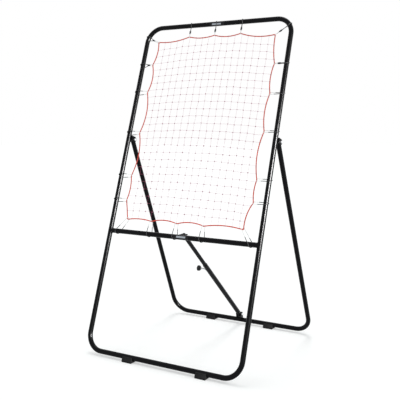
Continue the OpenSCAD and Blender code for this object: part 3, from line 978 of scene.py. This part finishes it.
class TARGET_OT_ties(bpy.types.Operator):
    """Winds the elastic ties round the tubes and the rope"""

    bl_idname = "target.ties"
    bl_label = "Wind Ties"

    def strands(self, tie):
        """The lines of a tie's sleeve and of its bare loop, and its bead's place:
        along the tube, behind it and into the window."""
        stand, net, sizes = settings("stand"), settings("net"), settings("ties")
        tube_r = stand.tube_d / 2
        wrap_r = tube_r + sizes.sleeve_d / 2 + 0.1 * MM
        hook_r = net.rope_d / 2 + sizes.elastic_d / 2 + 0.1 * MM
        t, h = math.radians(tie.way), math.radians(tie.hook_way - tie.way)
        d = tie.cusp - tie.place
        pull = (d.x * math.cos(t) - d.y * math.sin(t), d.x * math.sin(t) + d.y * math.cos(t))
        deep = net.rope_d if tie.hook_way % 90 else 0.0
        reach = tube_r + tie.sleeve
        tuck = math.asin(wrap_r / reach) if tie.drawn else 0.0
        spread = (0.2 if tie.drawn else 0.4) * sizes.gap

        def wrap(share):
            a = share * (math.pi + 2 * tuck) - tuck
            at = (share - 0.5) * sizes.gap
            return Vector((at, -wrap_r * math.cos(a), -wrap_r * math.sin(a)))

        def hook(share):
            a, at = share * math.pi, (share * 2 - 1) * spread
            into = hook_r * math.sin(a) + deep
            return Vector(
                (
                    pull[0] + at * math.cos(h) + into * math.sin(h),
                    -hook_r * math.cos(a),
                    pull[1] - at * math.sin(h) + into * math.cos(h),
                )
            )

        def sleeve_end(share):
            if tie.drawn:
                middle = (hook(0.0) + hook(1.0)) / 2
                beside = Vector(((share * 2 - 1) * sizes.sleeve_d * 0.5, 0.0, 0.0))
                return middle.normalized() * reach + beside
            return wrap(share) + (hook(share) - wrap(share)).normalized() * reach

        turns = [k / 22 for k in range(23)]
        first, last = sleeve_end(0.0), sleeve_end(1.0)
        around, bight = [wrap(k) for k in turns], [hook(k) for k in turns]
        sleeve = [first.lerp(around[0], k / 8) for k in range(8)] + around
        sleeve += [last.lerp(around[-1], k / 8) for k in range(7, -1, -1)]
        inside = 2.0 * MM
        start = first - (bight[0] - first).normalized() * inside
        finish = last - (bight[-1] - last).normalized() * inside
        loop = [start.lerp(bight[0], k / 6) for k in range(6)] + bight
        loop += [finish.lerp(bight[-1], k / 6) for k in range(5, -1, -1)]
        return sleeve, loop, (first + last) / 2

    def bead(self, name, centre, fit, look):
        """The moulded bead through which a drawn tie's strands pass."""
        sizes = settings("ties")
        r = sizes.bead_d / 2
        bm = bmesh.new()
        bmesh.ops.create_cone(
            bm, cap_ends=True, segments=20, radius1=r, radius2=r * 0.86, depth=sizes.bead_len
        )
        round_edges(bm, 1.0, r * 0.45, 4)
        bmesh.ops.scale(bm, vec=(1.1, 0.8, 1.0), verts=bm.verts)
        face = centre.to_track_quat("Z", "Y").to_matrix().to_4x4()
        bmesh.ops.transform(bm, matrix=Matrix.Translation(centre) @ face, verts=bm.verts)
        mesh = to_mesh(bm, name)
        mesh.transform(fit)
        keep(name, mesh, look, "frame")

    def execute(self, context):
        sizes, colours = settings("ties"), settings("colours")
        black = braided("black_sleeve", colours.sleeve, 60.0)
        white = braided("white_elastic", colours.elastic, 46.0, groove_shade=0.92)
        moulding = moulded("tie_bead", colours.sleeve, 0.45)
        sleeve_ring, loop_ring = circle(sizes.sleeve_d / 2, 10), circle(sizes.elastic_d / 2, 8)
        ends = {"top": [], "right": [], "bottom": [], "left": []}
        for tie in tie_list():
            sleeve, loop, middle = self.strands(tie)
            fit = frame_plane() @ Matrix.Translation((tie.place.x, 0.0, tie.place.y))
            fit = fit @ Matrix.Rotation(math.radians(tie.way), 4, "Y")
            mesh = swept(tie.name.replace("tie_", "sleeve_"), [sleeve], sleeve_ring)
            mesh.transform(fit)
            keep(mesh.name, mesh, black, "frame", [tie.name])
            if tie.drawn:
                self.bead(tie.name.replace("tie_", "bead_"), middle, fit, moulding)
            group = tie.name.split("_")[1]
            if group == "corner":
                group = "top" if tie.name[-1] in "12" else "bottom"
            ends[group].append([fit @ point for point in loop])
        for group, loops in ends.items():
            mesh = swept("elastic_" + group, loops, loop_ring)
            keep(mesh.name, mesh, white, "frame", ["tie_ends_" + group])
        return {"FINISHED"}


# A label band: its bar's place up the frame and then, in mm, its two ends and its
# stripe's two ends across, half its stripe's height and how low that stripe sits.
Band = namedtuple("Band", "name u low high stripe_low stripe_high half drop")


class TARGET_OT_labels(bpy.types.Operator):
    """Wraps a bare label band round the top bar and the crossbar"""

    bl_idname = "target.labels"
    bl_label = "Wrap Label Bands"

    def wrap(self, band):
        """The band's film, closed round its bar."""
        steps, film = 8, 0.06 * MM
        bm = bmesh.new()
        radius = settings("stand").tube_d / 2 + film
        loop = bmesh.ops.create_circle(bm, segments=72, radius=radius)["verts"]
        edges = list({e for v in loop for e in v.link_edges})
        for _ in range(steps):
            made = bmesh.ops.extrude_edge_only(bm, edges=edges)["geom"]
            edges = [g for g in made if isinstance(g, bmesh.types.BMEdge)]
            edges = [e for e in edges if all(v in made for v in e.verts)]
            verts = [g for g in made if isinstance(g, bmesh.types.BMVert)]
            bmesh.ops.translate(bm, verts=verts, vec=(0, 0, (band.high - band.low) * MM / steps))
        bmesh.ops.recalc_face_normals(bm, faces=bm.faces)
        bmesh.ops.solidify(bm, geom=list(bm.faces), thickness=-film)
        bmesh.ops.rotate(bm, verts=bm.verts, matrix=Matrix.Rotation(math.pi / 2, 3, "Y"))
        bmesh.ops.translate(bm, verts=bm.verts, vec=(band.low * MM, 0, band.u))
        mesh = to_mesh(bm, band.name)
        mesh.transform(frame_plane())
        return mesh

    def film(self, band):
        """Black film with one plain stripe, on the side that faces the thrower."""
        stand, colours = settings("stand"), settings("colours")
        finish = Finish(band.name + "_film", colours.film, 0.3, Specular_IOR_Level=0.15)
        x, y, z = finish.split(finish.place())
        sine, cosine = math.sin(stand.lean), math.cos(stand.lean)
        y, z = y + stand.base_depth / 2, z - stand.bar_z
        behind, up = y * cosine - z * sine, y * sine + z * cosine - band.u
        across = (x - (band.stripe_low + band.stripe_high) / 2 * MM).absolute()
        inside = (across < (band.stripe_high - band.stripe_low) / 2 * MM) * (behind < 0.0)
        inside = inside * ((up + band.drop * MM).absolute() < band.half * MM)
        worn = inside * (finish.noise(260.0, 2.0) * 0.5 + 0.6)
        colour = finish.mix(worn, shade(colours.film, 1.0), shade(colours.stripe, 1.0))
        finish.feed({"Base Color": colour, "Roughness": 0.3 + inside * 0.1})
        return finish.material

    def execute(self, context):
        stand = settings("stand")
        for band in (
            Band("label_top", stand.top_u, -42, 48, -27, 28, 3.5, 6.0),
            Band("label_crossbar", stand.crossbar_u, -36, 52, -18, 36, 4.5, 0.5),
        ):
            keep(band.name, self.wrap(band), self.film(band), "frame")
        return {"FINISHED"}


class TARGET_OT_stage(bpy.types.Operator):
    """Sets the floor, the lights, the world and the camera"""

    bl_idname = "target.stage"
    bl_label = "Set Stage"

    def floor_look(self, stage):
        """White where nothing shades it, and darker in the stand's shadow."""
        finish = Finish("floor_white", (stage.floor_white,) * 3, 1.0, Specular_IOR_Level=0.0)
        glow = finish.seen() * stage.floor_glow
        finish.feed({"Emission Color": WHITE, "Emission Strength": glow})
        return finish.material

    def lamp(self, lamp, place, aim):
        """Links a lamp that looks from a place at another."""
        holder = new_object(lamp.name, lamp)
        holder.location = place
        way = Vector(aim) - Vector(place)
        holder.rotation_euler = way.to_track_quat("-Z", "Y").to_euler()
        return holder

    def execute(self, context):
        stage = settings("stage")
        bm = bmesh.new()
        bmesh.ops.create_circle(bm, cap_ends=True, segments=96, radius=stage.floor_r)
        floor = new_object("floor", to_mesh(bm, "floor"))
        floor.data.materials.append(self.floor_look(stage))

        world = bpy.data.worlds.new("studio")
        context.scene.world = world
        world.use_nodes = True
        studio = Finish.on_tree(world.node_tree)
        seen = studio.seen()
        studio.connect(
            world.node_tree.nodes["Background"],
            {
                "Color": studio.mix(seen, (*stage.ambient_tint, 1.0), WHITE),
                "Strength": seen * (1.0 - stage.ambient) + stage.ambient,
            },
        )

        sun = bpy.data.lights.new("sun", "SUN")
        sun.energy, sun.angle, sun.color = stage.sun, stage.sun_width, stage.sun_tint
        self.lamp(sun, stage.sun_place, Vector())
        box = bpy.data.lights.new("softbox", "AREA")
        box.shape, box.size, box.size_y = "RECTANGLE", *stage.softbox_size
        box.energy = stage.softbox
        holder = self.lamp(box, stage.softbox_place, stage.softbox_aim)
        holder.visible_diffuse = False

        lens = bpy.data.cameras.new("camera")
        lens.sensor_width, lens.lens = 36.0, stage.lens
        lens.shift_y = stage.shift
        lens.clip_end = 60.0
        camera = new_object("camera", lens)
        camera.location = stage.eye
        camera.rotation_euler = (math.pi / 2 - stage.pitch, 0.0, stage.yaw)
        context.scene.camera = camera
        context.scene.view_settings.view_transform = "Standard"
        return {"FINISHED"}


STEPS = (
    TARGET_OT_tubes,
    TARGET_OT_hardware,
    TARGET_OT_rope,
    TARGET_OT_net,
    TARGET_OT_ties,
    TARGET_OT_labels,
    TARGET_OT_stage,
)


class TARGET_PT_panel(bpy.types.Panel):
    """Lists the sizes, the colours and the steps"""

    bl_idname = "TARGET_PT_panel"
    bl_label = "Pitching Target"
    bl_space_type = "VIEW_3D"
    bl_region_type = "UI"
    bl_category = "Target"

    def draw(self, context):
        for group, kind in GROUPS.items():
            box = self.layout.box()
            box.label(text=kind.__doc__)
            for name in kind.__annotations__:
                box.prop(getattr(context.scene, "target_" + group), name)
        for step in STEPS:
            self.layout.operator(step.bl_idname)


CLASSES = (*GROUPS.values(), *STEPS, TARGET_PT_panel)


def register():
    for kind in CLASSES:
        bpy.utils.register_class(kind)
    for group, kind in GROUPS.items():
        pointer = bpy.props.PointerProperty(type=kind)
        setattr(bpy.types.Scene, "target_" + group, pointer)


def unregister():
    for group in GROUPS:
        delattr(bpy.types.Scene, "target_" + group)
    for kind in reversed(CLASSES):
        bpy.utils.unregister_class(kind)


def main():
    register()
    for step in STEPS:
        family, action = step.bl_idname.split(".")
        getattr(getattr(bpy.ops, family), action)()


if __name__ == "__main__":
    main()
